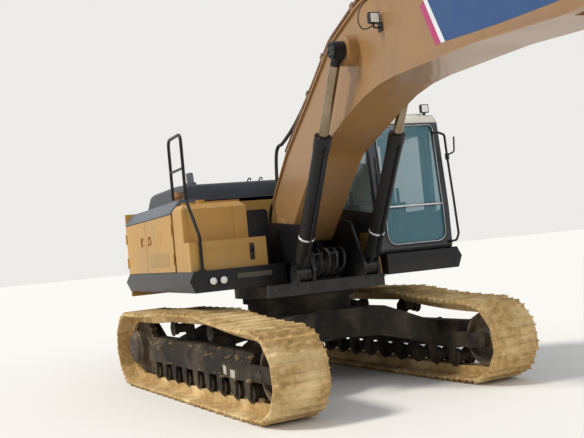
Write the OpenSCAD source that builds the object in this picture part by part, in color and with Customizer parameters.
// Crawler excavator of the 36 tonne class, in millimetres.
// +X is forward along the boom, +Y is the operator's left, +Z is up.
// The origin is on the ground, under the centre of the swing ring.

/* [Stance] */
// Turn of the undercarriage against the upper structure, in degrees
swing_rest = 4.6; // [-180:0.1:180]

/* [Tracks] */
// Distance between the centres of the two tracks
gauge = 2590; // [2500:10:2800]
// Width of a track shoe
shoe_w = 600; // [500:10:800]
// Length of one track link
pitch = 216; // [190:1:230]
// Height of the link pins over the grouser tips
pin_drop = 105; // [90:1:120]
// Height of the middle grouser over the link pins
grouser_mid = 99; // [80:1:104]
// Distance of the shoe plate's two faces from the link pins
shoe_in = 50; // [40:1:60]
shoe_out = 66; // [62:1:80]
// Distance of the running rail from the link pins
rail_h = 48; // [40:1:60]
// Half gap between the two link chains, and the width of one chain
chain_gap = 58; // [50:1:70]
chain_w = 44; // [30:1:50]
// Front idler: distance ahead of the swing centre, height, pin circle radius
idler_x = 2000; // [1900:10:2200]
idler_z = 470; // [440:5:500]
idler_pin_r = 350; // [320:5:370]
// Rear sprocket: distance behind the swing centre, pin circle radius, teeth
sprocket_x = 2140; // [2050:10:2200]
sprocket_pin_r = 400; // [380:1:420]
sprocket_teeth = 23; // [21:2:25]
// Bottom rollers: count, first and last place, tread radius
roller_n = 9; // [6:1:10]
roller_x0 = -1450; // [-1500:10:-1300]
roller_x1 = 1470; // [1300:10:1500]
roller_r = 92; // [80:1:95]
// Top rollers: places along the track, height of the link pins over them
carrier_x = [500, -720];
carrier_pin_z = 945; // [930:5:960]
carrier_r = 76; // [60:1:85]
// Sag of the upper run before and behind the top rollers
sag_front = 26; // [0:1:40]
sag_rear = 18; // [0:1:40]

/* [Undercarriage frame] */
// Width of a track frame, height of its underside and of its top
frame_w = 300; // [260:10:320]
frame_z0 = 365; // [362:1:400]
frame_z1 = 660; // [600:10:700]
// Rear and front ends of the track frame's box
frame_x0 = -1660; // [-1680:10:-1600]
frame_x1 = 1600; // [1560:10:1640]
// Radius of the swing tower and height of its top
tower_r = 635; // [560:5:680]
tower_z = 1100; // [1060:5:1120]

/* [Upper structure] */
// Underside of the upper frame and thickness of its floor plate
upper_z = 1250; // [1230:5:1270]
floor_t = 30; // [20:1:40]
// Half width over the side panels
body_hw = 1505; // [1450:5:1550]
// Top of the decks
deck_z = 1510; // [1480:5:1550]
// Outward point of the skirt's bevel beyond the side panels
skirt_out = 55; // [20:1:80]
// Top of the side doors and of the covers over them
door_z = 2200; // [2000:10:2300]
cover_z = 2370; // [2300:10:2450]
// Front edge of the right side doors and rear end of both sides
side_x1 = -80; // [-150:10:0]
side_x0 = -2630; // [-2700:10:-2500]
// Place of the post between two side doors
post_x = -1440; // [-1500:10:-1100]
// Wall thickness of doors and covers
panel_t = 40; // [20:1:60]
// Radius of the tail swing, counterweight underside and top
tail_r = 3450; // [3300:10:3600]
tail_z0 = 1190; // [1150:5:1240]
tail_z1 = 2380; // [2200:10:2500]
// Top of the engine hood
hood_z = 2640; // [2500:10:2700]
// Front end of the right deck
deck_x1 = 680; // [620:10:750]
// Front of the tool box
box_x1 = 590; // [500:10:600]
// Top of the tool box and of the fuel tank
box_z = 1840; // [1700:10:1900]
tank_z = 2285; // [2100:5:2350]

/* [Cab] */
// How far the cab's inner side stands over the edge of its deck, and its outer side inside the body's side
cab_over = 40; // [20:5:55]
cab_in = 15; // [5:5:30]
// Rear, foot and top of the front
cab_x0 = -480; // [-560:10:-400]
cab_x1 = 1270; // [1200:10:1300]
cab_top_x = 1180; // [1100:10:1250]
// Floor underside and roof top
cab_z0 = 1500; // [1490:5:1540]
cab_z1 = 3110; // [3000:10:3200]
// Thickness of the cab's walls and of its glass
cab_t = 60; // [40:1:80]
glass_t = 8; // [5:1:12]

/* [Boom] */
// Foot pin, nose pin, and the cylinder's lug on the boom, as [x, z]
foot = [330, 1880];
nose = [6500, 3200];
rod_lug = [2560, 3520];
// Foot of the boom cylinders on the upper frame
cyl_foot = [1150, 1380];
// Half width over the boom's flanges, and how far its sides stand back
boom_hw = 290; // [250:5:300]
flange_step = 22; // [10:1:30]
flange_t = 18; // [12:1:30]
// Middle of a boom cylinder, from the machine's centre line
cyl_y = 430; // [425:1:440]
// Lug of the arm cylinder on the boom
arm_lug = [3050, 4200];

/* [Arm and bucket] */
// Length of the arm and its angle below the level at rest
arm_len = 2950; // [2400:50:3400]
arm_dip = 43; // [30:0.5:70]
// Lugs on the arm, as [distance back along it, height towards its front]: its own
// cylinder's and the bucket cylinder's from the nose pin, the rocker's from the bucket pin
tail_at = [860, 190];
lug_at = [200, 620];
rocker_at = [530, 135];
// Half width of the arm over its flanges
arm_hw = 175; // [150:5:185]
// Tip radius, hinge distance and half width of the bucket
tip_r = 1600; // [1400:10:1700]
hinge_d = 480; // [450:5:520]
bucket_hw = 740; // [500:10:800]
// Direction of the bucket's teeth from its pin, in degrees
tip_dir = 213; // [180:1:230]
// Angle between the bucket's teeth and its link's pin, seen from the bucket pin
hinge_turn = 109; // [90:1:125]
// Lengths of rocker and link
rocker_len = 740; // [700:5:780]
link_len = 740; // [700:5:780]

/* [Cylinders] */
// Barrel and rod radius of the boom, arm and bucket cylinders
boom_cyl = [84, 52];
arm_cyl = [95, 57];
bucket_cyl = [84, 52];

/* [Clearances] */
// Gap between pieces that move on one another
run_gap = 5; // [5:0.5:8]
// Radial gap of a pin in its bore
pin_gap = 0.08; // [0.02:0.01:0.1]
// Gap of a piece at rest on a curved seat
seat = 0.3; // [0.2:0.1:0.5]

/* [Hidden] */

ochre = "#b98a3e";
ochre_dark = "#8f6d3d";
mud = "#8a7864";
iron = "#4b4642";
black = "#26272b";
slate = "#5f6d7a";
cream = "#cfcabb";
chrome = "#c9c6be";
clear = "#7f9a98";
$fn = 64;

track_y = gauge / 2;
cab_y1 = body_hw - cab_in;
frame_hw = frame_w / 2;
sprocket_z = pin_drop + sprocket_pin_r;
roller_z = pin_drop + rail_h + 2 + roller_r;
carrier_z = carrier_pin_z - rail_h - 8 - carrier_r;
idler_r = idler_pin_r * cos(90 * pitch / (PI * idler_pin_r)) - rail_h - 2;
rail_y1 = chain_gap + chain_w;
collar_y = 126;
drive_y = 112;
roller_step = (roller_x1 - roller_x0) / (roller_n - 1);

web_y0 = boom_hw + run_gap;
web_y1 = web_y0 + 35;
deck_y0 = web_y1 + 240;
cab_y0 = deck_y0 - cab_over;
eye_y0 = cyl_y - 50;
eye_y1 = cyl_y + 50;
cheek_out = eye_y1 + run_gap + 28;
boom_pin_r = 55;
eye_r = 92;
neck = 165;

e1 = [cos(arm_dip), -sin(arm_dip)];
e2 = [sin(arm_dip), cos(arm_dip)];
tip_pin = nose + arm_len * e1;
arm_tail = nose - tail_at[0] * e1 + tail_at[1] * e2;
bucket_lug = nose - lug_at[0] * e1 + lug_at[1] * e2;
rocker_pin = tip_pin - rocker_at[0] * e1 + rocker_at[1] * e2;
hinge_dir = tip_dir + hinge_turn;
hinge_pin = tip_pin + hinge_d * [cos(hinge_dir), sin(hinge_dir)];
link_top = meet(rocker_pin, rocker_len, hinge_pin, link_len);

// Point where two bars of lengths r1 and r2 from a and b meet, above the line from a to b
function meet(a, r1, b, r2) =
  let (d = norm(b - a), u = (b - a) / d, s = (r1 * r1 - r2 * r2 + d * d) / (2 * d))
  a + s * u + sqrt(r1 * r1 - s * s) * [-u[1], u[0]];

// A list of lists as one list, and a direction of length one
function flat(v) = [for (a = v) for (b = a) b];
function unit(v) = v / norm(v);

// Corners [x, y, radius] turned into an outline with round corners
function rounded(c) = flat([
  for (i = [0 : len(c) - 1])
    let (
      n = len(c), p = [c[i][0], c[i][1]],
      a = unit([c[(i + n - 1) % n][0], c[(i + n - 1) % n][1]] - p),
      b = unit([c[(i + 1) % n][0], c[(i + 1) % n][1]] - p),
      r = c[i][2],
      half = acos(max(-1, min(1, a * b))) / 2
    )
    r == 0 ? [p] :
      let (
        m = p + unit(a + b) * r / sin(half),
        s = p + a * r / tan(half) - m, e = p + b * r / tan(half) - m,
        t0 = atan2(s[1], s[0]), t1 = atan2(e[1], e[0]),
        turn = t1 - t0 > 180 ? t1 - t0 - 360 : t1 - t0 < -180 ? t1 - t0 + 360 : t1 - t0,
        k = max(2, ceil(abs(turn) / 8))
      )
      [for (j = [0 : k]) m + r * [cos(t0 + turn * j / k), sin(t0 + turn * j / k)]]
]);

// Corners moved inward by t, for an outline that runs counterclockwise
function inset(c, t) = [
  for (i = [0 : len(c) - 1])
    let (
      n = len(c), p = [c[i][0], c[i][1]],
      a = unit(p - [c[(i + n - 1) % n][0], c[(i + n - 1) % n][1]]),
      b = unit([c[(i + 1) % n][0], c[(i + 1) % n][1]] - p),
      na = [-a[1], a[0]], nb = [-b[1], b[0]],
      q = p + t * (na + nb) / (1 + na * nb)
    )
    [q[0], q[1], max(0, c[i][2] + (a[0] * b[1] - a[1] * b[0] > 0 ? -t : t))]
];

// A solid with its outline in the XZ plane, from y0 to y1
module side_plate(y0, y1) {
  translate([0, y1, 0]) rotate([90, 0, 0]) linear_extrude(y1 - y0) children();
}

// A box between two corners
module block(a, b) { translate(a) cube(b - a); }

// A box with a copy on the other side of the centre line
module both_sides() { children(); mirror([0, 1, 0]) children(); }

// A cylinder along Y, centred on the point [x, z]
module pin_y(at, r, y0, y1) {
  translate([at[0], y1, at[1]]) rotate([90, 0, 0]) cylinder(h = y1 - y0, r = r);
}

// Turns a solid that was drawn along +X from the origin to run from a towards b, in the XZ plane
module aim(a, b) {
  translate([a[0], 0, a[1]]) rotate([0, -atan2(b[1] - a[1], b[0] - a[0]), 0]) children();
}

// Smooth tube along a route: corners [x, y, z] rounded by bend radius, eight-sided
function bend(p, r) = flat([
  for (i = [0 : len(p) - 1])
    i == 0 || i == len(p) - 1 ? [p[i]] :
      let (
        a = unit(p[i - 1] - p[i]), b = unit(p[i + 1] - p[i]),
        lim = 0.49 * min(norm(p[i - 1] - p[i]), norm(p[i + 1] - p[i])),
        half = acos(max(-0.9999, min(0.9999, a * b))) / 2,
        cut = min(lim, r / tan(half)),
        s = p[i] + a * cut, e = p[i] + b * cut, k = 4
      )
      [for (j = [0 : k]) let (t = j / k)
        (1 - t) * (1 - t) * s + 2 * t * (1 - t) * p[i] + t * t * e]
]);

module tube(route, r, r_bend, across = [0, 1, 0], sides = 8) {
  p = bend(route, r_bend);
  n = len(p);
  tangent = [for (i = [0 : n - 1]) unit(p[min(i + 1, n - 1)] - p[max(i - 1, 0)])];
  rings = [for (i = [0 : n - 1])
    let (u = unit(cross(tangent[i], across)), v = cross(tangent[i], u))
    for (j = [0 : sides - 1]) p[i] + r * (cos(360 * j / sides) * u + sin(360 * j / sides) * v)];
  faces = concat(
    [[for (j = [0 : sides - 1]) j]],
    [for (i = [0 : n - 2]) for (j = [0 : sides - 1])
      let (k = (j + 1) % sides)
      [i * sides + k, i * sides + j, (i + 1) * sides + j, (i + 1) * sides + k]],
    [[for (j = [sides - 1 : -1 : 0]) (n - 1) * sides + j]]
  );
  polyhedron(points = rings, faces = faces, convexity = 6);
}

// The undercarriage stands turned by the swing angle at rest
module under() { rotate([0, 0, swing_rest]) children(); }

// Track: closed path of the link pins round circles [x, z, radius, sag of the run that follows]
path_circles = [
  [-sprocket_x, sprocket_z, sprocket_pin_r, 0],
  [roller_x0, roller_z, roller_r + rail_h + 2, 0],
  [roller_x1, roller_z, roller_r + rail_h + 2, 0],
  [idler_x, idler_z, idler_pin_r, sag_front],
  [carrier_x[0], carrier_z, carrier_r + rail_h + 8, 0],
  [carrier_x[1], carrier_z, carrier_r + rail_h + 8, sag_rear]
];

// Direction of the straight run from circle a to circle b
function run_dir(a, b) =
  let (d = [b[0] - a[0], b[1] - a[1]])
  atan2(d[1], d[0]) - asin((b[2] - a[2]) / norm(d));

function on_circle(c, dir) = [c[0], c[1]] + c[2] * [cos(dir - 90), sin(dir - 90)];

path = flat([
  for (i = [0 : 5])
    let (
      c = path_circles[i], next = path_circles[(i + 1) % 6], prev = path_circles[(i + 5) % 6],
      t0 = run_dir(prev, c), t1 = run_dir(c, next),
      turn = t1 < t0 - 1 ? t1 + 360 - t0 : t1 - t0,
      k = max(1, ceil(turn / 4)),
      s = on_circle(c, t1), e = on_circle(next, t1)
    )
    concat(
      [for (j = [0 : k]) on_circle(c, t0 + turn * j / k)],
      c[3] == 0 ? [] :
        [for (f = [0.15 : 0.1 : 0.86]) s + f * (e - s) - [0, 4 * c[3] * f * (1 - f)]]
    )
]);
path_n = len(path);
path_len = [for (i = [0 : path_n - 1]) norm(path[(i + 1) % path_n] - path[i])];
path_at = [for (i = 0, s = 0; i <= path_n; s = s + (i < path_n ? path_len[i] : 0), i = i + 1) s];
link_n = round(path_at[path_n] / pitch);

function path_point(s) =
  let (i = [for (j = [0 : path_n - 1]) if (path_at[j] <= s && s < path_at[j + 1]) j][0])
  path[i] + (path[(i + 1) % path_n] - path[i]) * (s - path_at[i]) / path_len[i];

link_pins = [for (i = [0 : link_n - 1]) path_point(path_at[path_n] * i / link_n)];

// Shoe outline over one link: [share of the link's length, height over the pins]
shoe_profile = [
  [0.02, shoe_out], [0.08, pin_drop], [0.15, shoe_out], [0.44, shoe_out],
  [0.5, grouser_mid], [0.56, shoe_out], [0.86, shoe_out], [0.92, pin_drop], [0.98, shoe_out]
];

function around(profile) = flat([
  for (i = [0 : link_n - 1])
    let (a = link_pins[i], b = link_pins[(i + 1) % link_n], t = unit(b - a), out = [t[1], -t[0]])
    [for (q = profile) a + (b - a) * q[0] + out * q[1]]
]);

// Outline at one height over the pins, with its corners on the links' mitres
function ring_at(h) = [
  for (i = [0 : link_n - 1])
    let (
      a = link_pins[(i + link_n - 1) % link_n], b = link_pins[i], c = link_pins[(i + 1) % link_n],
      t0 = unit(b - a), t1 = unit(c - b), n0 = [t0[1], -t0[0]], n1 = [t1[1], -t1[0]]
    )
    b + h * (n0 + n1) / (1 + n0 * n1)
];

module track_loop() {
  side_plate(-shoe_w / 2, shoe_w / 2) difference() {
    polygon(around(shoe_profile));
    polygon(ring_at(shoe_in));
  }
  both_sides() side_plate(chain_gap, rail_y1) difference() {
    polygon(ring_at(shoe_in + 0.5));
    polygon(ring_at(-rail_h));
  }
}

module track_left() { color(mud) under() translate([0, track_y, 0]) track_loop(); }
module track_right() { color(mud) under() translate([0, -track_y, 0]) track_loop(); }

// Front idler wheel, its centre rib between the link chains
module idler() {
  translate([idler_x, 0, idler_z]) rotate([90, 0, 0]) {
    rotate_extrude() polygon([
      [0, -collar_y], [85, -collar_y], [85, -70], [140, -40], [idler_r - 45, -40],
      [idler_r - 30, -rail_y1 + 6], [idler_r, -rail_y1 + 2], [idler_r, -chain_gap + 8],
      [idler_r + 22, -chain_gap + 14], [idler_r + 22, chain_gap - 14],
      [idler_r, chain_gap - 8], [idler_r, rail_y1 - 2], [idler_r - 30, rail_y1 - 6],
      [idler_r - 45, 40], [140, 40], [85, 70], [85, collar_y], [0, collar_y]
    ]);
  }
}
module idler_left() { color(iron) under() translate([0, track_y, 0]) idler(); }
module idler_right() { color(iron) under() translate([0, -track_y, 0]) idler(); }

// Sprocket ring with its teeth, and the final drive's round housing; +Y is the outer side
tooth_step = 360 / sprocket_teeth;
module sprocket() {
  root = sprocket_pin_r - 36;
  tip = sprocket_pin_r + 24;
  outline = flat([for (i = [0 : sprocket_teeth - 1]) [
    for (q = [[0.06, root], [0.28, tip - 8], [0.36, tip], [0.64, tip], [0.72, tip - 8], [0.94, root]])
      q[1] * [cos(tooth_step * (i + q[0])), sin(tooth_step * (i + q[0]))]
  ]]);
  translate([-sprocket_x, 0, sprocket_z]) rotate([90, 0, 0]) {
    translate([0, 0, -40]) linear_extrude(80) polygon(outline);
    rotate_extrude() polygon([
      [0, -225], [150, -225], [195, -205], [215, -160], [232, -150], [232, -60], [270, -45],
      [270, -40], [0, -40]
    ]);
    rotate_extrude() polygon([[0, 40], [290, 40], [290, drive_y], [0, drive_y]]);
  }
}
module sprocket_left() { color(iron) under() translate([0, track_y, 0]) sprocket(); }
module sprocket_right() { color(iron) under() translate([0, -track_y, 0]) mirror([0, 1, 0]) sprocket(); }

// One roller: two treads with outer flanges, waisted between, stub shafts at both ends
module roller(r) {
  rotate([90, 0, 0]) rotate_extrude() polygon([
    [0, -collar_y], [38, -collar_y], [38, -122], [r * 0.7, -122], [r + 16, -116],
    [r + 16, -rail_y1 - 6], [r, -rail_y1 - 4], [r, -chain_gap + 4], [r * 0.75, -chain_gap + 14],
    [r * 0.75, chain_gap - 14], [r, chain_gap - 4], [r, rail_y1 + 4], [r + 16, rail_y1 + 6],
    [r + 16, 116], [r * 0.7, 122], [38, 122], [38, collar_y], [0, collar_y]
  ]);
}
module roller_row() {
  for (i = [0 : roller_n - 1]) translate([roller_x0 + i * roller_step, 0, roller_z]) roller(roller_r);
  for (x = carrier_x) translate([x, 0, carrier_z]) roller(carrier_r);
}
module rollers_left() { color(mud) under() translate([0, track_y, 0]) roller_row(); }
module rollers_right() { color(mud) under() translate([0, -track_y, 0]) roller_row(); }

// Track frame: box beam with a sloping top, idler yokes, roller brackets; +Y is the outer side
frame_section = [
  [-frame_hw, frame_z0], [frame_hw, frame_z0], [frame_hw, frame_z1 - 110],
  [frame_hw - 60, frame_z1], [-frame_hw + 60, frame_z1], [-frame_hw, frame_z1 - 110]
];
module track_frame() {
  translate([frame_x0, 0, 0]) rotate([90, 0, 90]) linear_extrude(frame_x1 - frame_x0)
    polygon(frame_section);
  both_sides() {
    side_plate(collar_y, frame_hw) polygon(rounded([
      [frame_x1 - 60, frame_z0 + 15, 0], [idler_x + 85, frame_z0 + 15, 80],
      [idler_x + 85, frame_z1 - 110, 80], [frame_x1 - 60, frame_z1 - 110, 0]
    ]));
    for (i = [0 : roller_n - 1]) side_plate(collar_y, frame_hw) polygon([
      [roller_x0 + i * roller_step - 75, frame_z0], [roller_x0 + i * roller_step - 55, roller_z - 48],
      [roller_x0 + i * roller_step + 55, roller_z - 48], [roller_x0 + i * roller_step + 75, frame_z0]
    ]);
  }
  for (x = carrier_x) side_plate(-frame_hw, -collar_y) polygon([
    [x - 110, frame_z1 - 130], [x + 110, frame_z1 - 130], [x + 50, carrier_z + 45], [x - 50, carrier_z + 45]
  ]);
  side_plate(-frame_hw, -drive_y) polygon(concat(
    [[frame_x0 + 80, frame_z0 + 10], [frame_x0 + 80, frame_z1 - 112]],
    [for (a = [60 : 12 : 300]) [-sprocket_x + 320 * cos(a), sprocket_z + 320 * sin(a)]]
  ));
}
module track_frame_left() { color(mud) under() translate([0, track_y, 0]) track_frame(); }
module track_frame_right() {
  color(mud) under() translate([0, -track_y, 0]) mirror([0, 1, 0]) track_frame();
}

// Centre frame: round swing tower on four legs that slope down to the track frames
leg_end = track_y - frame_hw;
leg_plan = [[560, 0], [800, 330], [1120, 850], [1260, leg_end], [760, leg_end], [640, 800], [470, 520]];
module centre_frame() {
  quarters = [[1, 1], [-1, 1], [-1, -1], [1, -1]];
  plan = [for (q = quarters) for (i = [0 : len(leg_plan) - 1])
    let (c = leg_plan[q[0] * q[1] > 0 ? i : len(leg_plan) - 1 - i])
    if (c[1] > 0 || q[1] > 0) [q[0] * c[0], q[1] * c[1]]];
  color(ochre_dark) under() difference() {
    union() {
      translate([0, 0, 540]) cylinder(h = tower_z - 540, r = tower_r);
      translate([0, 0, tower_z - 60]) cylinder(h = 60, r = tower_r + 55);
      intersection() {
        linear_extrude(1000) polygon(plan);
        rotate([90, 0, 90]) translate([0, 0, -1400]) linear_extrude(2800) polygon([
          [-leg_end, 400], [-560, 560], [560, 560], [leg_end, 400], [leg_end, 650], [620, 900],
          [-620, 900], [-leg_end, 650]
        ]);
      }
    }
    translate([0, 0, 500]) cylinder(h = 100, r = 420);
  }
}

// Swing ring: inner race on the tower, outer race under the upper frame
module swing_ring_inner() {
  color(iron) under() difference() {
    translate([0, 0, tower_z]) cylinder(h = 110, r = 660);
    translate([0, 0, tower_z - 1]) cylinder(h = 112, r = 560);
  }
}
module swing_ring_outer() {
  color(iron) difference() {
    translate([0, 0, tower_z + 20]) cylinder(h = upper_z - tower_z - 20, r = 780);
    translate([0, 0, tower_z + 19]) cylinder(h = upper_z - tower_z - 18, r = 660 + seat);
  }
}

// Upper frame: floor plate, two long webs with the boom's ears, side outriggers
web_z = 1500;
floor_x1 = 560;
nose_x = 1230;
ear_top = 120;
web_outline = [
  [side_x0, upper_z + floor_t, 0], [nose_x, upper_z + floor_t, 60], [nose_x + 60, cyl_foot[1] + 20, 90],
  [foot[0] + 690, foot[1] + 40, 120], [foot[0] - 190, foot[1] + ear_top, 90], [-150, 1600, 200],
  [-700, web_z, 300], [side_x0, web_z, 0]
];
guard_x = 235;
guard_top = 2170;
module upper_frame() {
  color(black) {
    difference() {
      translate([0, 0, upper_z]) linear_extrude(floor_t) polygon([
        [side_x0, -deck_y0], [floor_x1, -deck_y0], [floor_x1, deck_y0], [side_x0, deck_y0]
      ]);
      translate([0, 0, upper_z - 1]) cylinder(h = floor_t + 2, r = 180);
    }
    both_sides() block([floor_x1 - 30, web_y0, upper_z], [nose_x, web_y1, upper_z + floor_t]);
    both_sides() {
      difference() {
        side_plate(web_y0, web_y1) polygon(rounded(web_outline));
        pin_y(foot, boom_pin_r, web_y0 - 1, web_y1 + 1);
      }
      pin_y(foot, boom_pin_r, boom_hw - 80, web_y1 + 20);
      pin_y(cyl_foot, 95, web_y1 - 1, eye_y0 - run_gap);
      pin_y(cyl_foot, boom_pin_r, web_y1, eye_y1 + run_gap);
      side_plate(eye_y1 + run_gap, cheek_out) polygon(rounded([
        [cyl_foot[0] - 90, upper_z + floor_t, 0], [cyl_foot[0] + 90, upper_z + floor_t, 0],
        [cyl_foot[0] + 105, cyl_foot[1] + 100, 90], [cyl_foot[0] - 105, cyl_foot[1] + 100, 90]
      ]));
      block([cyl_foot[0] - 150, web_y1 - 1, upper_z], [cyl_foot[0] + 90, cheek_out, upper_z + floor_t]);
    }
    block([nose_x - 35, -860, upper_z - 95], [nose_x, deck_y0 - run_gap, upper_z + floor_t + 8]);
    both_sides() block([600, web_y1 - 1, upper_z], [nose_x - 30, 600, upper_z + 14]);
    translate([guard_x, 0, 0]) rotate([90, 0, 90]) linear_extrude(12) mirror([1, 0]) polygon(rounded([
      [web_y1 + 70, upper_z + floor_t - 1, 0], [deck_y0 - 5, upper_z + floor_t - 1, 0],
      [deck_y0 - 5, deck_z, 0], [deck_y0 + 120, deck_z, 0], [deck_y0 + 120, guard_top, 50],
      [web_y1 + 70, guard_top, 50]
    ]));
    block([floor_x1 - 1, -web_y0 - 1, upper_z], [nose_x - 34, web_y0 + 1, upper_z + floor_t]);
    block([-900, -web_y0, upper_z + floor_t], [-860, web_y0, 1900]);
    block([200, -web_y0, upper_z + floor_t], [240, web_y0, 1560]);
  }
}

// Side decks: hollow beams with a bevelled skirt that stands out beyond the panels
module skirt_section() {
  polygon([
    [deck_y0, upper_z + 20], [body_hw, upper_z + 20], [body_hw + skirt_out, upper_z + 150],
    [body_hw, deck_z], [deck_y0, deck_z]
  ]);
}
lamp_y = 1230;
lamp_z = 1388;
step_y = 405;
module both_x(y, half) { for (s = [-1, 1]) translate([0, y + s * half, 0]) children(); }
module deck_right() {
  color(black) difference() {
    mirror([0, 1, 0]) translate([side_x0, 0, 0]) rotate([90, 0, 90])
      linear_extrude(deck_x1 - side_x0) skirt_section();
    block([side_x0 + 60, -body_hw + 40, upper_z], [deck_x1 - 40, -deck_y0 - 40, deck_z - 30]);
    translate([deck_x1 - 18, 0, lamp_z]) both_x(-lamp_y, 62) rotate([0, 90, 0]) cylinder(h = 20, r = 56);
  }
  color(black) {
    block([guard_x + 20, -deck_y0 - 1, upper_z + floor_t], [deck_x1, -step_y, deck_z]);
    block([deck_x1 - 1, -1010, deck_z - 125], [deck_x1 + 6, -575, deck_z - 60]);
    translate([deck_x1 - 18, 0, lamp_z]) both_x(-lamp_y, 62) rotate([0, 90, 0]) cylinder(h = 30, r = 46);
  }
}
module deck_left() {
  color(black) difference() {
    translate([side_x0, 0, 0]) rotate([90, 0, 90])
      linear_extrude(1335 - side_x0) skirt_section();
    block([side_x0 + 60, deck_y0 + 40, upper_z], [1295, body_hw - 40, deck_z - 60]);
    block([cab_x0 - 15, cab_y0 - run_gap, cab_z0], [1340, body_hw - 12, deck_z + 10]);
  }
}

// Counterweight: cast block, round about the swing centre, with lifting eyes
lift = [-(tail_r - side_x0) / 2, tail_z1 + 70];
lift_y = 700;
lift_t = 50;
lift_bore = 32;
tail_hw = body_hw - 15;
module counterweight() {
  color(ochre) {
    difference() {
      intersection() {
        rotate_extrude($fn = 180) polygon(rounded([
          [2000, tail_z0, 0], [tail_r - 120, tail_z0, 90], [tail_r, tail_z0 + 200, 160],
          [tail_r, tail_z1 - 160, 200], [tail_r - 160, tail_z1, 120], [2000, tail_z1, 0]
        ]));
        translate([0, 0, tail_z0 - 10]) linear_extrude(tail_z1 - tail_z0 + 20) polygon([
          [side_x0, tail_hw], [side_x0, -tail_hw], [side_x0 - 60, -tail_hw], [-tail_r + 200, -tail_hw + 285],
          [-tail_r - 10, -tail_hw + 400], [-tail_r - 10, tail_hw - 400], [-tail_r + 200, tail_hw - 285],
          [side_x0 - 60, tail_hw]
        ]);
      }
      block([side_x0 - 240, -560, tail_z0 - 20], [side_x0, 560, tail_z0 + 280]);
    }
    both_sides() difference() {
      side_plate(lift_y, lift_y + lift_t) polygon(rounded([
        [lift[0] - 100, tail_z1 - 5, 0], [lift[0] + 100, tail_z1 - 5, 0],
        [lift[0] + 50, lift[1] + 60, 45], [lift[0] - 50, lift[1] + 60, 45]
      ]));
      pin_y(lift, lift_bore, lift_y - 1, lift_y + lift_t + 1);
    }
  }
}

// House over the engine: posts, walls and sloping covers beside the hood
hood_x0 = -2560;
hood_x1 = -560;
hood_y = body_hw - 325;
post_y0 = web_y1 + 300;
post_y1 = body_hw - panel_t - run_gap;
module post_section() {
  polygon([
    [post_y0, deck_z], [post_y1, deck_z], [post_y1, door_z], [body_hw - 145, cover_z - panel_t],
    [post_y0, cover_z - panel_t]
  ]);
}

// Hinge knuckles outside a flush face, drawn round the Z axis with the door towards -X;
// knuckle centres stand off the face by their radius and 1 mm
door_hinge_r = 7;
cab_hinge_r = 12;
function stand_off(r) = r + 1;
side_hinge_z = [deck_z + 120, door_z - 220];
cab_hinge_z = [cab_z0 + 260, cab_z1 - 480];
module door_leaf(r, z, h) {
  translate([0, stand_off(r), z]) cylinder(h = h, r = r);
  block([-6 * r, -1, z], [0, r, z + h]);
}
module frame_leaves(r, z, h, x1, deep) {
  for (z0 = [z - h / 2 - seat, z + h + seat]) {
    translate([0, stand_off(r), z0]) cylinder(h = h / 2, r = r);
    block([3, -deep, z0], [x1, r, z0 + h / 2]);
  }
}
module post_knuckles(x) {
  translate([x, body_hw, 0]) for (z = side_hinge_z)
    frame_leaves(door_hinge_r, z, 70, door_hinge_r, body_hw - post_y1 + 1);
}
module door_knuckles(x) {
  translate([x, body_hw, 0]) for (z = side_hinge_z) door_leaf(door_hinge_r, z, 70);
}
module post(x, side) {
  mirror([0, side < 0 ? 1 : 0, 0]) translate([x, 0, 0]) rotate([90, 0, 90]) linear_extrude(60) post_section();
}
module house_frame() {
  color(ochre) {
    for (s = [-1, 1]) for (x = [side_x0, post_x - 30, hood_x1 + 20]) post(x, s);
    post(side_x1 - 60, -1);
    block([side_x0, -post_y0 - 10, deck_z], [side_x0 + 30, post_y0 + 10, cover_z - panel_t]);
    block([hood_x1 + 20, -post_y0 - 10, deck_z + 400], [hood_x1 + 50, post_y0 + 10, cover_z - panel_t]);
    post_knuckles(post_x - door_gap / 2);
    mirror([0, 1, 0]) {
      translate([rear_hinge_x, 0, 0]) mirror([1, 0, 0]) post_knuckles(0);
      post_knuckles(side_x1 - door_gap / 2);
    }
  }
}

// Covers: sloping strips over the side doors, with a flat top round the hood
module cover_section() {
  polygon([
    [hood_y - 40, cover_z], [body_hw - 130, cover_z], [body_hw, door_z + 30], [body_hw, door_z + 8],
    [body_hw - panel_t, door_z + 8], [body_hw - 140, cover_z - panel_t], [hood_y - 40, cover_z - panel_t]
  ]);
}
hood_pin_r = 8;
hood_lug_r = 16;
hood_foot = cover_z + run_gap;
hood_pin = [hood_x0 - hood_lug_r - run_gap, hood_foot + hood_lug_r + 4];
module house_covers() {
  color(slate) {
    both_sides() side_plate(hood_y - 35, hood_y - 5) difference() {
      union() {
        translate([hood_pin[0] - hood_lug_r, cover_z - 1]) square([2 * hood_lug_r, hood_pin[1] - cover_z + 1]);
        translate(hood_pin) circle(r = hood_lug_r);
      }
      translate(hood_pin) circle(r = hood_pin_r + pin_gap);
    }
    mirror([0, 1, 0]) translate([side_x0, 0, 0]) rotate([90, 0, 90])
      linear_extrude(side_x1 - side_x0) cover_section();
    translate([side_x0, 0, 0]) rotate([90, 0, 90]) linear_extrude(cab_x0 - 20 - side_x0) cover_section();
  }
}

// Engine block with its front end, where it sits across the machine
module engine() {
  color(iron) {
    block([-2350, -420, web_z + 40], [-1600, 620, 2250]);
    both_sides() for (x = [-2300, -1800]) block([x, web_y0, web_z], [x + 150, web_y1, web_z + 41]);
  }
}

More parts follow.
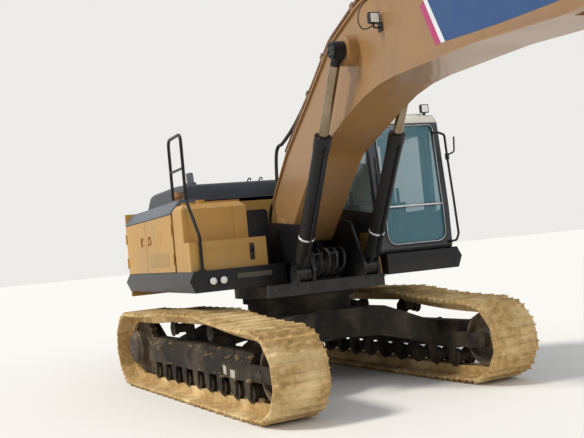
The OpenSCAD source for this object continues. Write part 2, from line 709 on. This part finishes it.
// Fuel tank with chamfered top edges and its filler
tank_hw = body_hw - 65;
module fuel_tank() {
  color(ochre) difference() {
    tank_form();
    block([349, -900, box_z + 30], [356, -878, tank_z + 1]);
    block([120, -tank_hw - 1, box_z + 60], [142, -tank_hw + 6, tank_z + 1]);
  }
  color(black) translate([-10, -1150, tank_z]) cylinder(h = 60, r = 55);
}
module tank_form() {
  intersection() {
    block([side_x1 + 1, -tank_hw, deck_z], [355, -710, tank_z]);
    rotate([90, 0, 90]) translate([0, 0, -1000]) linear_extrude(2000) polygon([
      [-tank_hw, 0], [-710, 0], [-710, tank_z - 60], [-770, tank_z], [-tank_hw + 60, tank_z],
      [-tank_hw, tank_z - 60]
    ]);
    side_plate(-body_hw, -600) polygon([
      [-1000, 0], [355, 0], [355, tank_z - 60], [295, tank_z], [-1000, tank_z]
    ]);
  }
}

// Tool box before the tank: open box with thick walls, closed by its lid
box_x0 = 360;
box_y = 585;
box_t = 24;
module tool_box() {
  color(ochre) difference() {
    block([box_x0, -body_hw, deck_z], [box_x1, -box_y, box_z - 25]);
    block([box_x0 + box_t, -body_hw + box_t, deck_z + 20], [box_x1 - box_t, -box_y - box_t, box_z]);
    panel_recess(120, 60, 8, 40);
    panel_recess(175, 110, 14, 30);
  }
  color(black) {
    block([box_x1 - 1, -box_y - 215, deck_z + 70], [box_x1 + 14, -box_y - 155, box_z - 60]);
    translate([box_x1 + 13, -box_y - 185, box_z - 130]) rotate([0, 90, 0]) cylinder(h = 14, r = 24);
  }
}
// Recess in the box's front, set in from its sides and from its top and foot
module panel_recess(in_y, in_z, deep, r) {
  translate([box_x1 - deep, 0, 0]) rotate([90, 0, 90]) linear_extrude(deep + 1) polygon(rounded([
    [-body_hw + in_y, deck_z + in_z, r], [-box_y - 110 - in_y, deck_z + in_z, r],
    [-box_y - 110 - in_y, box_z - 25 - in_z, r], [-body_hw + in_y, box_z - 25 - in_z, r]
  ]));
}
module tool_box_lid() {
  color(ochre) block([box_x0, -body_hw, box_z - 24.5], [box_x1, -box_y, box_z]);
}

// Control valve and swing motor between the boom foot and the hood
module control_valve() {
  color(iron) {
    block([-800, -250, upper_z + floor_t], [-450, 250, 1750]);
    translate([-80, 60, upper_z + floor_t]) cylinder(h = 560, r = 140);
  }
}

// Valve block and bent lines on the floor between the boom cylinders
line_y = [-190, -95, 10, 105, 200];
module hydraulic_lines() {
  color(iron) {
    block([640, -230, upper_z + floor_t], [760, 240, 1430]);
    block([660, -200, 1429], [740, 210, 1500]);
    for (y = line_y) translate([700, y, 1499]) cylinder(h = 30, r = 26, $fn = 6);
  }
  color(black) for (i = [0 : 4]) {
    y = line_y[i];
    tube([[700, y, 1528], [700, y, 1570], [760, y + 6, 1625], [900, y + 12, 1625], [985, y + 14, 1560],
      [1000, y - 10, 1420], [940, y - 60, 1340], [800, y - 75, 1302]], 17, 90, [0.1, 1, 0.15]);
  }
  color(iron) for (i = [0, 2]) block([955, line_y[i] - 6, 1566], [973, line_y[i + 1] + 44, 1584]);
}

// Side doors: an outer skin with a pressed frame behind it, clear of its edges
skin_t = 12;
door_gap = 8;
rear_hinge_x = side_x0 + 12;
module side_panel(x0, x1, z0 = deck_z + 6) {
  color(ochre) difference() {
    union() {
      block([x0, body_hw - skin_t, z0], [x1, body_hw, door_z]);
      block([x0 + 50, body_hw - panel_t, z0 + 6], [x1 - 50, body_hw - skin_t + 1, door_z - 6]);
    }
    block([x0 + 110, body_hw - panel_t - 1, deck_z + 72], [x1 - 110, body_hw - skin_t, door_z - 66]);
  }
}
latch_z = 1930;
module side_door(x0, x1) {
  difference() {
    union() {
      side_panel(x0, x1);
      color(ochre) block([x0 + 60, body_hw - panel_t, latch_z - 85], [x0 + 320, body_hw - skin_t + 1, latch_z + 85]);
    }
    side_plate(body_hw - 20, body_hw + 1) polygon(rounded([
      [x0 + 95, latch_z - 60, 24], [x0 + 295, latch_z - 60, 24], [x0 + 295, latch_z + 60, 24],
      [x0 + 95, latch_z + 60, 24]
    ]));
  }
  color(black) block([x0 + 115, body_hw - 21, latch_z - 24], [x0 + 215, body_hw - 4, latch_z + 24]);
  color(ochre) door_knuckles(x1 + door_gap / 2);
}
module side_door_front_right() { mirror([0, 1, 0]) side_door(post_x + door_gap, side_x1 - door_gap); }
module side_door_rear_right() {
  mirror([0, 1, 0]) translate([rear_hinge_x, 0, 0]) mirror([1, 0, 0])
    side_door(rear_hinge_x + door_gap - post_x, -door_gap / 2);
}
module side_panel_left() { side_panel(post_x + door_gap, cab_x0 - 40, deck_z); }
module side_door_left() {
  difference() {
    side_door(side_x0 + door_gap, post_x - door_gap);
    for (z = [deck_z + 150 : 55 : door_z - 150]) for (x = [side_x0 + 190, (side_x0 + post_x) / 2 + 30])
      block([x, body_hw - skin_t - 1, z], [x + 440, body_hw + 1, z + 18]);
  }
}

// Engine hood: raised lid with sloping sides and walls of one thickness, hinged at its rear
hood_t = 30;
module hood_form(t) {
  intersection() {
    rotate([90, 0, 90]) translate([0, 0, hood_x0]) linear_extrude(hood_x1 - hood_x0) polygon(rounded([
      [-hood_y + t, hood_foot - t, 0], [hood_y - t, hood_foot - t, 0], [hood_y - 70 - t, hood_z - t, 110 - t],
      [-hood_y + 70 + t, hood_z - t, 110 - t]
    ]));
    side_plate(-hood_y, hood_y) polygon(rounded([
      [hood_x0 + t, hood_foot - t, 0], [hood_x1 - t, hood_foot - t, 0],
      [hood_x1 - 40 - t, hood_z - 50 - t, 110 - t], [hood_x1 - 900, hood_z - t, 300],
      [hood_x0 + 50 + t, hood_z - t, 110 - t]
    ]));
  }
}
hood_step_x = [-2380, -1980, -1580];
module engine_hood() {
  color(iron) difference() {
    union() {
      hood_form(0);
      for (x = hood_step_x) for (y = [-840, 480]) translate([0, 0, hood_z - 1]) difference() {
        block([x, y, 0], [x + 300, y + 360, 6]);
        for (i = [0 : 4]) for (j = [0 : 2])
          block([x + 35 + 85 * j, y + 30 + 66 * i, -1], [x + 95 + 85 * j, y + 56 + 66 * i, 7]);
      }
    }
    hood_form(hood_t);
  }
  color(iron) both_sides() {
    side_plate(hood_y - 80, hood_y - 40) {
      translate(hood_pin) circle(r = hood_lug_r);
      translate([hood_pin[0], hood_pin[1] - 11]) square([hood_lug_r + run_gap + 1, 22]);
    }
    pin_y(hood_pin, hood_pin_r, hood_y - 60, hood_y - 6);
  }
}

// Exhaust: tilted tail pipe on the hood, and the engine's air intake on the cover beside it
module exhaust() {
  color(slate) difference() {
    translate([hood_x1 - 490, -hood_y + 250, hood_z - 70]) {
      cylinder(h = 80, r = 70);
      rotate([0, -12, 0]) cylinder(h = 210, r = 48);
    }
    hood_form(-seat);
  }
}
module air_intake() {
  color(black) {
    translate([-510, -hood_y - 90, cover_z]) cylinder(h = 60, r = 45);
    translate([-510, -hood_y - 90, cover_z + 60]) cylinder(h = 60, r = 75);
  }
}

// Cab: side outline with a leaning front, walls with their windows cut
cab_corners = [
  [cab_x0, cab_z0, 40], [cab_x1, cab_z0, 60], [cab_x1, cab_z0 + 500, 300], [cab_top_x, cab_z1, 150],
  [cab_x0 + 40, cab_z1, 120], [cab_x0, cab_z1 - 400, 200]
];
door_x0 = -60;
door_x1 = 900;
module cab_solid(t, y0, y1) { side_plate(y0, y1) polygon(rounded(inset(cab_corners, t))); }

// Window openings in the side walls
rear_pane = [
  [cab_x0 + 90, cab_z0 + 900, 50], [door_x0 - 70, cab_z0 + 900, 50],
  [door_x0 - 70, cab_z1 - 190, 50], [cab_x0 + 90, cab_z1 - 190, 50]
];
door_outline = [
  [door_x0, cab_z0 + 50, 40], [door_x1 - 90, cab_z0 + 50, 60], [door_x1, cab_z0 + 420, 100],
  [door_x1, cab_z1 - 130, 80], [door_x0, cab_z1 - 130, 80]
];
front_side_pane = [
  [door_x1 + 80, cab_z0 + 420, 40], [cab_x1 - 80, cab_z0 + 470, 40],
  [cab_top_x - 30, cab_z1 - 190, 60], [door_x1 + 80, cab_z1 - 190, 40]
];
boom_pane = [
  [cab_x0 + 90, cab_z0 + 700, 60], [cab_x1 - 80, cab_z0 + 470, 60], [cab_top_x - 30, cab_z1 - 190, 60],
  [cab_x0 + 90, cab_z1 - 190, 60]
];
bar_z = 2030;
// Front window opening, round at its corners, smaller by t all round
module front_cut(t) {
  translate([1000, 0, 0]) rotate([90, 0, 90]) linear_extrude(400) polygon(rounded([
    [cab_y0 + 100 + t, cab_z0 + 85 + t, 120 - t], [cab_y1 - 70 - t, cab_z0 + 85 + t, 120 - t],
    [cab_y1 - 70 - t, cab_z1 - 125 - t, 60 - t], [cab_y0 + 100 + t, cab_z1 - 125 - t, 60 - t]
  ]));
}
module cab_shell() {
  color(iron) difference() {
    cab_solid(0, cab_y0, cab_y1);
    cab_solid(cab_t, cab_y0 + cab_t, cab_y1 - cab_t);
    side_plate(cab_y0 - 1, cab_y0 + cab_t + 1) polygon(rounded(boom_pane));
    side_plate(cab_y1 - cab_t - 1, cab_y1 + 1) {
      polygon(rounded(rear_pane));
      polygon(rounded(inset(door_outline, -run_gap)));
      polygon(rounded(front_side_pane));
    }
    front_cut(0);
    block([cab_x0 - 60, cab_y0 + 110, cab_z0 + 850], [cab_x0 + 150, cab_y1 - 110, cab_z1 - 230]);
    block([250, cab_y0 + 200, cab_z1 - 200], [850, cab_y1 - 200, cab_z1 + 10]);
  }
  color(iron) intersection() {
    block([1000, cab_y0 + 95, bar_z - 14], [1400, cab_y1 - 65, bar_z + 14]);
    difference() { cab_solid(-4, cab_y0, cab_y1); cab_solid(16, cab_y0 - 1, cab_y1 + 1); }
  }
  color(iron) translate([door_x0 - run_gap / 2, cab_y1, 0]) mirror([1, 0, 0]) for (z = cab_hinge_z)
    frame_leaves(cab_hinge_r, z, 90, 6 * cab_hinge_r, 1);
}
module cab_glass() {
  color(clear, 0.4) {
    side_plate(cab_y0 + 20, cab_y0 + 20 + glass_t) polygon(rounded(inset(boom_pane, 0.5)));
    side_plate(cab_y1 - 28, cab_y1 - 28 + glass_t) {
      polygon(rounded(inset(rear_pane, 0.5)));
      polygon(rounded(inset(front_side_pane, 0.5)));
    }
    intersection() {
      front_cut(0.5);
      difference() { cab_solid(18, cab_y0, cab_y1); cab_solid(18 + glass_t, cab_y0 - 1, cab_y1 + 1); }
    }
    intersection() {
      block([cab_x0 - 60, cab_y0 + 110.5, cab_z0 + 850.5], [cab_x0 + 150, cab_y1 - 110.5, cab_z1 - 230.5]);
      difference() { cab_solid(18, cab_y0, cab_y1); cab_solid(18 + glass_t, cab_y0 - 1, cab_y1 + 1); }
    }
  }
  color(cream) block([250.5, cab_y0 + 200.5, cab_z1 - cab_t], [849.5, cab_y1 - 200.5, cab_z1 - 20]);
}
module cab_door() {
  color(iron) side_plate(cab_y1 - cab_t, cab_y1) difference() {
    polygon(rounded(door_outline));
    polygon(rounded(door_pane));
  }
  color(iron) translate([door_x0 - run_gap / 2, cab_y1, 0]) mirror([1, 0, 0]) for (z = cab_hinge_z)
    door_leaf(cab_hinge_r, z, 90);
}
door_pane = [
  [door_x0 + 70, cab_z0 + 480, 60], [door_x1 - 70, cab_z0 + 480, 60],
  [door_x1 - 70, cab_z1 - 200, 60], [door_x0 + 70, cab_z1 - 200, 60]
];
module cab_door_glass() {
  color(clear, 0.4) side_plate(cab_y1 - 28, cab_y1 - 28 + glass_t)
    polygon(rounded(inset(door_pane, 0.5)));
}

// Roof cap round the hatch, with raised ribs along its sides
roof_t = 24;
module cab_roof() {
  color(cream) translate([0, 0, cab_z1]) difference() {
    union() {
      linear_extrude(roof_t) polygon(rounded([
        [cab_x0 + 170, cab_y0 + 40, 90], [cab_top_x - 160, cab_y0 + 40, 90],
        [cab_top_x - 160, cab_y1 - 40, 90], [cab_x0 + 170, cab_y1 - 40, 90]
      ]));
      for (y = [cab_y0 + 90, cab_y1 - 150]) translate([0, 0, roof_t - 1]) linear_extrude(16) polygon(rounded([
        [cab_x0 + 260, y, 28], [cab_top_x - 240, y, 28], [cab_top_x - 240, y + 60, 28], [cab_x0 + 260, y + 60, 28]
      ]));
    }
    block([240, cab_y0 + 190, -1], [860, cab_y1 - 190, roof_t + 20]);
  }
}

// Plate on the cab's inner side at its front foot
guard_t = 6;
guard_z0 = upper_z + floor_t + 9;
module cab_guard() {
  color(ochre) side_plate(cab_y0 - guard_t, cab_y0) polygon(rounded([
    [cab_x1 - 470, guard_z0, 0], [cab_x1 - 15, guard_z0, 0], [cab_x1 - 35, guard_z0 + 190, 60],
    [cab_x1 - 210, cab_z0 + 255, 160], [cab_x1 - 470, cab_z0 + 275, 20]
  ]));
}

// Operator's seat and consoles on the cab floor
seat_y = (cab_y0 + cab_y1) / 2;
console_w = 140;
console_y1 = (cab_y1 - cab_y0) / 2 - 80;
console_y0 = console_y1 - console_w;
seat_hw = console_y0 - 10;
floor_z = cab_z0 + cab_t;
module seat() {
  color("#a08f72") side_plate(seat_y - seat_hw, seat_y + seat_hw) polygon(rounded([
    [-60, floor_z + 420, 50], [440, floor_z + 420, 50], [470, floor_z + 560, 50], [60, floor_z + 550, 40],
    [-90, floor_z + 1180, 40], [-210, floor_z + 1150, 40]
  ]));
  color(black) block([0, seat_y - 200, floor_z], [380, seat_y + 200, floor_z + 420]);
}
module console() {
  color(black) {
    for (s = [-1, 1]) translate([0, seat_y + s * (console_y0 + console_y1) / 2, 0]) {
      block([-50, -console_w / 2, floor_z], [420, console_w / 2, floor_z + 560]);
      translate([370, 0, floor_z + 559]) cylinder(h = 180, r = 22);
    }
    for (s = [-1, 1]) {
      translate([820, seat_y + s * 70, floor_z]) cylinder(h = 520, r = 14);
      block([760, seat_y + s * 150 - 60, floor_z], [1000, seat_y + s * 150 + 60, floor_z + 30]);
    }
  }
}

// Handrails at the right front, round the cab's front corner and behind the hood
rail_foot_x = 635;
rail_x0 = -140;
rail_x1 = 400;
rail_z = 3090;
module handrails() {
  color(black) {
    tube([[rail_foot_x, -tank_hw + 50, deck_z], [rail_foot_x, -tank_hw + 50, 1900], [rail_x1, -tank_hw, 2330],
      [rail_x1, -tank_hw, rail_z], [rail_x0, -tank_hw, rail_z], [rail_x0, -tank_hw, cover_z]], 19, 90, [0.1, 1, 0.2]);
    tube([[rail_x1 - 19 - seat, -tank_hw, 2700], [rail_x0 + 19 + seat, -tank_hw, 2700]], 16, 50);
    translate([rail_foot_x, -tank_hw + 50, deck_z]) cylinder(h = 12, r = 43);
    tube([[1201, cab_y1 - 95, 2870], [1300, cab_y1 - 90, 2870], [1318, cab_y1 + 5, 2830],
      [1322, cab_y1 + 12, 2570], [1322, cab_y1 + 45, 2050], [1322, cab_y1 + 65, 1660],
      [1322, cab_y1 + 30, 1585], [1322, cab_y1 - 52, 1575], [cab_x1 + seat, cab_y1 - 52, 1575]], 14, 40, [0.3, 0.1, 1]);
    translate([1322, cab_y1 + 12, 2570]) cylinder(h = 70, r = 24, center = true);
    tube([[1322, cab_y1 + 20, 2590], [1330, cab_y1 + 110, 2620], [1330, cab_y1 + 125, 2800]], 10, 40, [1, 0, 0.1]);
  }
}

// Work lamps: a flat box with cooling ribs behind, facing +X; on the cab's roof and on the boom
lamp_side = 100;
module led_lamp() {
  translate([-8, -lamp_side / 2, 0]) {
    block([0, 0, 0], [34, lamp_side, lamp_side]);
    for (i = [0 : 5]) block([-22, 8 + 15 * i, 10], [1, 14 + 15 * i, lamp_side - 10]);
    difference() {
      block([33, 0, 0], [42, lamp_side, lamp_side]);
      block([32, 8, 8], [43, lamp_side - 8, lamp_side - 8]);
    }
  }
}
lamp_at = [arm_lug[0] + 100, arm_lug[1] - 640];
module boom_lamp() {
  color(black) translate([lamp_at[0], -core_hw, lamp_at[1]]) {
    translate([0, -72, 60]) led_lamp();
    block([-6, -78, 30], [6, -66, 62]);
    block([-6, -78, 20], [6, 0, 32]);
    block([-40, -8, -10], [40, 0, 70]);
  }
}
module work_lamps() {
  color(black) translate([cab_top_x - 120, cab_y1 - 80, cab_z1]) {
    cylinder(h = 26, r = 18);
    translate([0, 0, 25]) led_lamp();
  }
}

// Boom: box girder from the foot pin to the forked nose
boom_corners = [
  [foot[0] - 150, foot[1] - 150, 150], [foot[0] + 180, foot[1] - 160, 150],
  [rod_lug[0] - 1040, rod_lug[1] - 900, 500], [rod_lug[0] + 340, rod_lug[1] - 415, 2600],
  [nose[0] - 2000, nose[1] - 110, 1800], [nose[0] - 900, nose[1] - 190, 500],
  [nose[0] - 350, nose[1] - 150, 300], [nose[0] + 160, nose[1] - 150, 150],
  [nose[0] + 160, nose[1] + 150, 150], [nose[0] - 350, nose[1] + 190, 400],
  [nose[0] - 2000, nose[1] + 490, 2000], [arm_lug[0] - 150, arm_lug[1] - 240, 900],
  [rod_lug[0] - 460, rod_lug[1] + 180, 700], [rod_lug[0] - 1190, rod_lug[1] - 320, 800],
  [foot[0] + 370, foot[1] + 880, 500], [foot[0] - 170, foot[1] + 390, 150]
];
fork_x = nose[0] - 940;
fork_hw = 205;
core_hw = boom_hw - flange_step;
module boom() {
  color(ochre) difference() {
    union() {
      difference() {
        side_plate(-boom_hw, boom_hw) polygon(rounded(boom_corners));
        both_sides() side_plate(core_hw, boom_hw + 1) polygon(rounded(inset(boom_corners, flange_t)));
        intersection() {
          side_plate(-core_hw + 14, core_hw - 14) polygon(rounded(inset(boom_corners, flange_t + 30)));
          block([foot[0] + 370, -core_hw, 0], [fork_x - 120, core_hw, arm_lug[1]]);
        }
      }
      pin_y(foot, 150, -boom_hw, boom_hw);
      pin_y(rod_lug, 150, -eye_y0 + run_gap, -core_hw);
      pin_y(rod_lug, 150, core_hw, eye_y0 - run_gap);
      both_sides() pin_y(nose, 150, fork_hw, boom_hw);
    }
    block([fork_x, -fork_hw, nose[1] - 1000], [nose[0] + 200, fork_hw, nose[1] + 1000]);
    pin_y(foot, boom_pin_r + pin_gap, -boom_hw - 1, boom_hw + 1);
  }
  color(iron) {
    pin_y(nose, 60, -fork_hw, fork_hw);
  }
}

// Bracket of the arm cylinder, standing on the boom's top plate
module arm_cylinder_bracket() {
  color(ochre) difference() {
    both_sides() side_plate(110, 150) polygon(rounded([
      [arm_lug[0] - 420, arm_lug[1] - 400, 0], [arm_lug[0] + 500, arm_lug[1] - 420, 0],
      [arm_lug[0] + 110, arm_lug[1] + 110, 110], [arm_lug[0] - 110, arm_lug[1] + 110, 110]
    ]));
    side_plate(-boom_hw, boom_hw) polygon(rounded(inset(boom_corners, -seat)));
  }
  color(iron) pin_y(arm_lug, 55, -110, 110);
}

// Steel pipes along the boom's top with their clamps
pipe_r = 20;
pipe_rise = 48;
pipe_y = [-262, -212];
pipe_line = [for (i = [14 : -1 : 9]) let (c = inset(boom_corners, -pipe_rise)[i]) [c[0], c[1]]];
pipe_end = pipe_line[4] + 0.72 * (pipe_line[5] - pipe_line[4]);
clamp_at = [[1, 0.15], [1, 0.75], [2, 0.7], [3, 0.2], [3, 0.7], [4, 0.35]];
module boom_pipes() {
  route = concat([for (i = [0 : 4]) pipe_line[i]], [pipe_end]);
  color(iron) {
    for (y = pipe_y) tube([for (q = route) [q[0], y, q[1]]], pipe_r, 400);
    for (c = clamp_at) {
      a = route[c[0]];
      b = route[c[0] + 1];
      m = a + c[1] * (b - a);
      translate([m[0], 0, m[1]]) rotate([0, -atan2(b[1] - a[1], b[0] - a[0]), 0])
        block([-30, pipe_y[0] - pipe_r - 6, -pipe_rise + seat], [30, pipe_y[1] + pipe_r + 6, pipe_r + 6]);
    }
  }
}

// Hydraulic cylinder drawn along +X from its foot pin: barrel of length n, and rod to the eye at m
module barrel(n, r, rod_r, eye, half) {
  difference() {
    union() {
      translate([0, half, 0]) rotate([90, 0, 0]) cylinder(h = 2 * half, r = eye[0]);
      translate([eye[0] * 0.7, 0, 0]) rotate([0, 90, 0]) cylinder(h = neck, r = min(half, r) - 2);
      translate([neck, 0, 0]) rotate([0, 90, 0]) cylinder(h = n - neck - 60, r = r);
      translate([n - 110, 0, 0]) rotate([0, 90, 0]) cylinder(h = 110, r = r + 8);
    }
    translate([0, half + 1, 0]) rotate([90, 0, 0]) cylinder(h = 2 * half + 2, r = eye[1] + pin_gap);
    translate([neck + 8, 0, 0]) rotate([0, 90, 0]) cylinder(h = n - neck, r = rod_r + seat);
  }
}
// Eye of a boom cylinder's rod with its pin and cap, on a round neck
eye_neck = 150;
module rod_eye(m, eye, half) {
  translate([m, half, 0]) rotate([90, 0, 0]) cylinder(h = 2 * half, r = eye[0]);
  translate([m - eye_neck + seat, 0, 0]) rotate([0, 90, 0]) cylinder(h = eye_neck - seat, r = half - 1);
  translate([m, half + 20, 0]) rotate([90, 0, 0]) cylinder(h = 21, r = eye[0] - 14);
  for (a = [0 : 60 : 300]) translate([m + (eye[0] - 32) * cos(a), half + 28, (eye[0] - 32) * sin(a)])
    rotate([90, 0, 0]) cylinder(h = 9, r = 9, $fn = 6);
}
module plain_rod(m, back, rod_r) {
  translate([m - back, 0, 0]) rotate([0, 90, 0]) cylinder(h = back - eye_neck, r = rod_r);
}
module rod(m, back, rod_r, eye, half) {
  translate([m - back, 0, 0]) rotate([0, 90, 0]) cylinder(h = back - eye[0] * 0.6, r = rod_r);
  difference() {
    translate([m, half, 0]) rotate([90, 0, 0]) cylinder(h = 2 * half, r = eye[0]);
    translate([m, half + 1, 0]) rotate([90, 0, 0]) cylinder(h = 2 * half + 2, r = eye[1]);
  }
}

boom_cyl_len = norm(rod_lug - cyl_foot);
boom_barrel = 1660;
boom_rod_in = 1748;
eye = [eye_r, boom_pin_r];
module boom_cylinder_barrels() {
  color(black) both_sides() translate([0, cyl_y, 0]) aim(cyl_foot, rod_lug) {
    barrel(boom_barrel, boom_cyl[0], boom_cyl[1], eye, 50);
    barrel_pipe(boom_barrel, boom_cyl[0]);
    for (a = [0 : 45 : 315]) rotate([a, 0, 0]) translate([boom_barrel - 1, 0, boom_cyl[0] - 12])
      rotate([0, 90, 0]) cylinder(h = 12, r = 9, $fn = 6);
  }
}
module barrel_pipe(n, r) {
  rotate([180, 0, 0]) {
    translate([neck + 90, 0, r + 24]) rotate([0, 90, 0]) cylinder(h = n - neck - 190, r = 11, $fn = 24);
    for (x = [neck + 120, n - 150]) {
      block([x - 14, -20, r - 12], [x + 14, 20, r + 26]);
      translate([x - 14, 0, 0]) rotate([0, 90, 0]) difference() {
        cylinder(h = 28, r = r + 3);
        translate([0, 0, -1]) cylinder(h = 30, r = r - 2);
      }
    }
  }
}
module boom_cylinder_rods() {
  color(chrome) both_sides() translate([0, cyl_y, 0]) aim(cyl_foot, rod_lug)
    plain_rod(boom_cyl_len, boom_rod_in, boom_cyl[1]);
}
module boom_rod_eyes() {
  color(black) both_sides() translate([0, cyl_y, 0]) aim(cyl_foot, rod_lug) rod_eye(boom_cyl_len, eye, 50);
}

cheek_y = arm_hw + run_gap;
cheek_t = 38;
arm_cyl_len = norm(arm_tail - arm_lug);
arm_barrel = 2250;
arm_rod_in = 2200;
arm_eye = [112, 55];
module arm_cylinder_barrel() {
  color(ochre) aim(arm_lug, arm_tail) barrel(arm_barrel, arm_cyl[0], arm_cyl[1], arm_eye, 104);
}
module arm_cylinder_rod() {
  color(chrome) aim(arm_lug, arm_tail) rod(arm_cyl_len, arm_rod_in, arm_cyl[1], arm_eye, 60);
}

// Arm, drawn along +X from the boom's nose pin with +Z on its front side
arm_corners = [
  [-tail_at[0] - 130, tail_at[1] - 130, 120], [-tail_at[0] + 120, tail_at[1] - 130, 300],
  [-300, -215, 300], [700, -235, 300], [arm_len - 100, -125, 90],
  [arm_len + 125, -125, 115], [arm_len + 125, 115, 110], [arm_len - 330, 150, 200],
  [arm_len - 560, 215, 200], [500, 330, 400], [-lug_at[0] + 140, lug_at[1] - 100, 200],
  [-tail_at[0] + 360, tail_at[1] + 130, 200], [-tail_at[0] - 130, tail_at[1] + 130, 110]
];
module arm() {
  color(ochre) aim(nose, tip_pin) {
    difference() {
      union() {
        difference() {
          side_plate(-arm_hw, arm_hw) polygon(rounded(arm_corners));
          both_sides() side_plate(arm_hw - flange_step, arm_hw + 1) polygon(rounded(inset(arm_corners, flange_t)));
          intersection() {
            side_plate(-arm_hw + 40, arm_hw - 40) polygon(rounded(inset(arm_corners, flange_t + 25)));
            block([200, -arm_hw, -400], [arm_len - 900, arm_hw, 600]);
          }
        }
        pin_y([0, 0], 150, -fork_hw + run_gap, fork_hw - run_gap);
        pin_y([arm_len, 0], 110, -ear_y0 + run_gap, ear_y0 - run_gap);
        pin_y([arm_len - rocker_at[0], rocker_at[1]], 90, -arm_hw, arm_hw);
        both_sides() side_plate(100, 140) polygon(rounded([
          [-lug_at[0] - 220, 350, 0], [-lug_at[0] + 320, 380, 0], [-lug_at[0] + 95, lug_at[1] + 95, 90],
          [-lug_at[0] - 95, lug_at[1] + 95, 90]
        ]));
      }
      pin_y([0, 0], 60 + pin_gap, -300, 300);
      pin_y([arm_len, 0], 50 + pin_gap, -300, 300);
      pin_y([arm_len - rocker_at[0], rocker_at[1]], 45 + pin_gap, -300, 300);
      block([-tail_at[0] - 240, -66, -200], [-tail_at[0] + 220, 66, 700]);
    }
    pin_y([-lug_at[0], lug_at[1]], 50, -100, 100);
  }
}

bucket_cyl_len = norm(link_top - bucket_lug);
bucket_barrel = 1900;
bucket_rod_in = 1850;
bucket_eye = [100, 50];
module bucket_cylinder_barrel() {
  color(ochre) aim(bucket_lug, link_top) barrel(bucket_barrel, bucket_cyl[0], bucket_cyl[1], bucket_eye, 94);
}
module bucket_cylinder_rod() {
  color(chrome) aim(bucket_lug, link_top) rod(bucket_cyl_len, bucket_rod_in, bucket_cyl[1], [92, 45], 60);
}

// Bucket ears stand outside the rocker's cheeks
ear_y0 = cheek_y + cheek_t + run_gap;
ear_y1 = ear_y0 + 42;

// Rocker: two cheeks outside the arm, on a pin through it
module rocker() {
  color(ochre) {
    aim(rocker_pin, link_top) both_sides() side_plate(cheek_y, cheek_y + cheek_t) {
      polygon(rounded([
        [-90, -85, 80], [rocker_len + 85, -80, 75], [rocker_len + 85, 80, 75], [-90, 85, 80]
      ]));
    }
    pin_y(rocker_pin, 45, -cheek_y - 1, cheek_y + 1);
    both_sides() pin_y(link_top, 60, cheek_y + cheek_t - 1, cheek_y + cheek_t + 12);
  }
}
// Link: two cheeks between the rocker's, joined across their middle
module link() {
  color(ochre) aim(link_top, hinge_pin) difference() {
    union() {
      both_sides() side_plate(100, cheek_y - run_gap) polygon(rounded([
        [-70, -70, 66], [link_len + 70, -70, 66], [link_len + 70, 70, 66], [-70, 70, 66]
      ]));
      both_sides() pin_y([link_len, 0], 70, 100, ear_y0 - run_gap);
      block([260, -101, -60], [400, 101, 60]);
    }
    pin_y([0, 0], 42, -300, 300);
    pin_y([link_len, 0], 42 + pin_gap, -300, 300);
  }
}

// Bucket, drawn from its pin with +X towards the tooth tips and +Z towards its back
lip_x = tip_r - 200;
bucket_corners = [
  [lip_x, -14, 0], [lip_x, 20, 0], [lip_x - 120, 70, 200], [1010, 820, 520], [380, 1010, 420],
  [-75, 870, 200], [205, 75, 0], [240, 70, 0]
];
bucket_space = concat(
  [[lip_x + 120, -30, 0]], [for (i = [2 : 5]) bucket_corners[i]], [[305, -208, 0]]
);
hinge_at = hinge_d * [cos(hinge_dir - tip_dir), sin(hinge_dir - tip_dir)];
tooth_n = 5;
module bucket() {
  color(ochre_dark) translate([tip_pin[0], 0, tip_pin[1]]) rotate([0, -tip_dir, 0]) {
    difference() {
      side_plate(-bucket_hw, bucket_hw) polygon(rounded(bucket_corners));
      side_plate(-bucket_hw + 30, bucket_hw - 30) polygon(rounded(inset(bucket_space, 26)));
    }
    both_sides() {
      side_plate(ear_y0, ear_y1) polygon(rounded([
        [-115, -100, 100], [115, -100, 100], [240, 62, 20], [20, 660, 0],
        [hinge_at[0] - 20, hinge_at[1] + 130, 90], [hinge_at[0] - 110, hinge_at[1] - 30, 90]
      ]));
      pin_y(hinge_at, 42, 0, ear_y1 + 22);
      pin_y([0, 0], 50, ear_y0 + 1, ear_y1 + 22);
    }
    pin_y([0, 0], 50, -ear_y0 - 2, ear_y0 + 2);
    for (i = [0 : tooth_n - 1])
      translate([0, (i - (tooth_n - 1) / 2) * (2 * bucket_hw - 120) / (tooth_n - 1), 0])
        side_plate(-45, 45) polygon([
          [lip_x - 120, -14], [lip_x - 40, -40], [tip_r, 0], [tip_r, 12], [lip_x - 40, 60], [lip_x - 100, 45]
        ]);
  }
}

centre_frame();
track_frame_left();
track_frame_right();
track_left();
track_right();
idler_left();
idler_right();
sprocket_left();
sprocket_right();
rollers_left();
rollers_right();
swing_ring_inner();
swing_ring_outer();
upper_frame();
deck_right();
deck_left();
counterweight();
house_frame();
house_covers();
engine();
fuel_tank();
tool_box();
control_valve();
hydraulic_lines();
cab_shell();
cab_roof();
cab_guard();
cab_glass();
seat();
console();
handrails();
air_intake();
work_lamps();
tool_box_lid();
side_door_front_right();
side_door_rear_right();
side_panel_left();
side_door_left();
engine_hood();
exhaust();
cab_door();
cab_door_glass();
boom();
arm_cylinder_bracket();
boom_pipes();
boom_lamp();
boom_cylinder_barrels();
boom_cylinder_rods();
boom_rod_eyes();
arm_cylinder_barrel();
arm_cylinder_rod();
arm();
bucket_cylinder_barrel();
bucket_cylinder_rod();
rocker();
link();
bucket();
